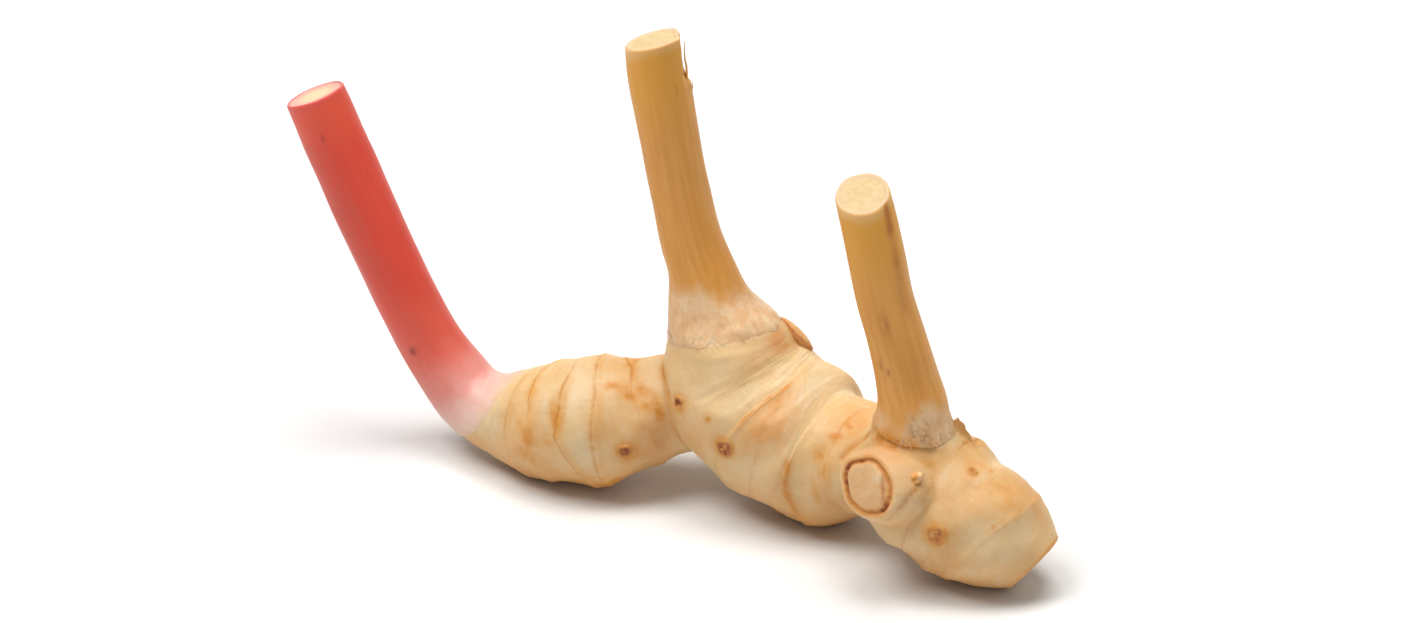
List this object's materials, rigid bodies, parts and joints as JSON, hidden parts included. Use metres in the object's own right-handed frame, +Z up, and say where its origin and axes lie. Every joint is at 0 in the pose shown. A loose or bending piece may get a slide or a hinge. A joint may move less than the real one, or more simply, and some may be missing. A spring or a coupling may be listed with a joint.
{
  "type": "galangal root",
  "caption": "Fresh galangal rhizome: swollen ringed lobes grown together, lying on their low sides, with a pink shoot and tan stems cut off above.",
  "frame": {"origin": "middle of the footprint of the whole root's box, on the surface it rests on", "axes": "+X along the rhizome from the pink shoot to the end cut off the clump, +Y to the back, away from the cut side shoot, +Z up"},
  "size_m": [0.1895, 0.0477, 0.1098],
  "materials": {
    "rhizome_skin": "thin waxy cream skin, satin, with tan scale scars",
    "pink_shoot": "smooth moist coral-pink sheath, satin",
    "tan_stem": "smooth fibrous tan leaf sheaths, satin"
  },
  "bodies": {
    "root": {"rhizome": "rhizome_skin", "pink_shoot": "pink_shoot", "middle_stem": "tan_stem", "end_stem": "tan_stem"}
  },
  "joints": []
}
